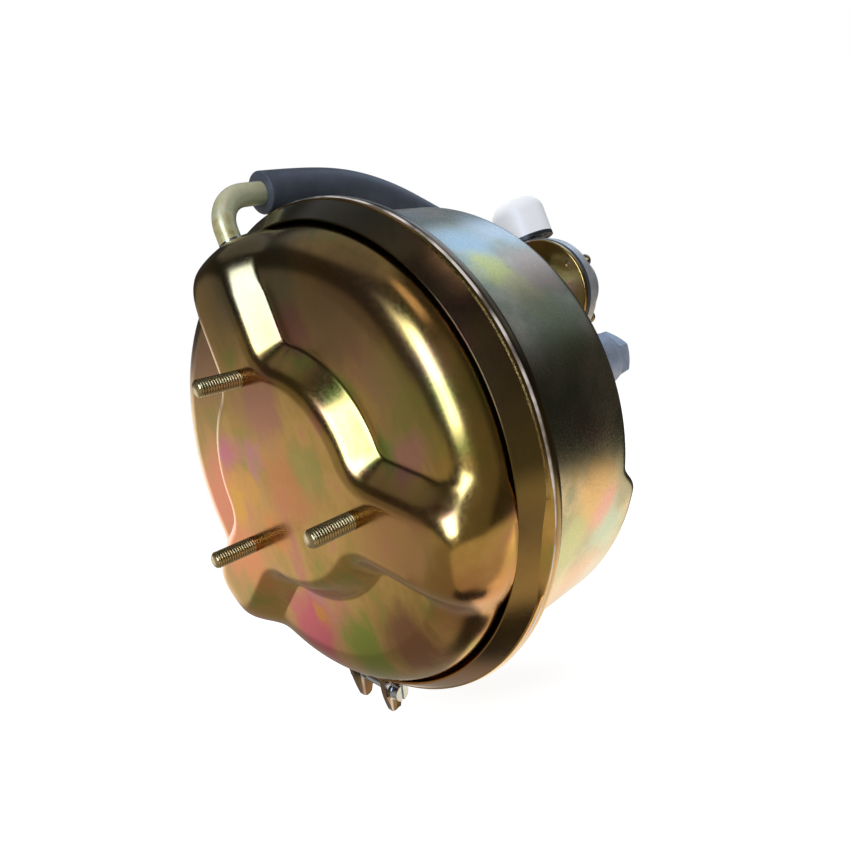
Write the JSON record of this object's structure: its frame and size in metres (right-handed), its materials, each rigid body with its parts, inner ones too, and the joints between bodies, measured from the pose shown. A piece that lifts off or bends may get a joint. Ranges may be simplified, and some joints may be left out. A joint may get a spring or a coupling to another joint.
{
  "type": "brake booster",
  "caption": "Remote vacuum brake booster: studded rear cover and front shell held by a clamp band, with hydraulic slave cylinder, control valve and vacuum hose",
  "frame": {"origin": "centre of the three-lobed mounting face, midway between the three mounting studs", "axes": "+Y along the booster's axis from the mounting face to the hydraulic cylinder, +Z towards the top lobe with the elbow pipe"},
  "size_m": [0.2384, 0.3135, 0.2843],
  "materials": {
    "yellow_zinc": "yellow passivated zinc plating, iridescent",
    "band_zinc": "yellow passivated zinc plating, dark and glossy",
    "shell_zinc": "yellow passivated zinc plating with grey-green bloom",
    "stud_zinc": "yellow passivated threads",
    "bright_zinc": "bright zinc plating",
    "plain_steel": "plain steel, satin",
    "spring_steel": "drawn wire",
    "cast_grey": "as cast, blue-grey",
    "cast_aluminium": "die cast, satin",
    "piston_aluminium": "turned",
    "hose_rubber": "matt hose rubber",
    "soft_rubber": "moulded rubber",
    "gasket_paper": "gasket sheet",
    "white_nylon": "moulded nylon",
    "dark_nylon": "moulded nylon",
    "filter_felt": "felt"
  },
  "bodies": {
    "housing": {"rear_cover": "yellow_zinc", "stud_plate": "plain_steel", "mounting_studs": "stud_zinc", "elbow_pipe": "yellow_zinc", "vacuum_hose": "hose_rubber", "clamp_band": "band_zinc", "clamp_screw": "bright_zinc", "clamp_nut": "bright_zinc", "front_shell": "shell_zinc", "main_diaphragm": "soft_rubber", "return_spring": "spring_steel", "inner_plate": "plain_steel", "cylinder_gasket": "gasket_paper", "slave_cylinder": "cast_grey", "cylinder_bolts": "stud_zinc", "cylinder_nuts": "stud_zinc", "gland_circlip": "spring_steel", "rod_bearing": "dark_nylon", "rod_seal": "soft_rubber", "end_plug": "cast_grey", "plug_washer": "bright_zinc", "bleed_screw": "bright_zinc", "valve_plate": "yellow_zinc", "plate_screws": "bright_zinc", "valve_diaphragm": "soft_rubber", "valve_lid": "cast_aluminium", "valve_screws": "stud_zinc", "valve_spring": "spring_steel", "air_seat": "plain_steel", "poppet_spring": "spring_steel", "filter_base": "dark_nylon", "air_filter": "filter_felt", "filter_cap": "white_nylon", "check_grommet": "soft_rubber", "check_body": "dark_nylon", "check_spring": "spring_steel"},
    "power_piston": {"diaphragm_plate": "plain_steel", "diaphragm_retainer": "plain_steel", "rod_nut": "bright_zinc", "push_rod": "plain_steel", "hydraulic_piston": "piston_aluminium", "piston_cup": "soft_rubber"},
    "control_valve": {"valve_piston": "plain_steel", "valve_cup": "soft_rubber", "valve_hub": "dark_nylon", "hub_clip": "plain_steel"},
    "air_poppet": {"air_poppet": "soft_rubber"},
    "check_disc": {"check_disc": "soft_rubber"}
  },
  "joints": [
    {"name": "power_stroke", "type": "slide", "parent": "housing", "child": "power_piston", "axis": [0, 1, 0], "range_m": [0, 0.045], "stiffness_N_per_m": 2500, "springref_m": -0.02, "deforming": ["return_spring", "main_diaphragm"]},
    {"name": "valve_travel", "type": "slide", "parent": "housing", "child": "control_valve", "axis": [0, 1, 0], "range_m": [0, 0.0024], "stiffness_N_per_m": 2000, "springref_m": -0.003, "deforming": ["valve_diaphragm", "valve_spring"]},
    {"name": "poppet_lift", "type": "slide", "parent": "housing", "child": "air_poppet", "axis": [0, 1, 0], "range_m": [0, 0.0012], "stiffness_N_per_m": 600, "springref_m": -0.003, "deforming": ["poppet_spring"]},
    {"name": "check_lift", "type": "slide", "parent": "housing", "child": "check_disc", "axis": [0, 1, 0], "range_m": [0, 0.0015], "stiffness_N_per_m": 100, "springref_m": -0.002, "deforming": ["check_spring"]}
  ],
  "couplings": [
    {"joint": "poppet_lift", "follows": "valve_travel", "ratio": 0.5}
  ]
}
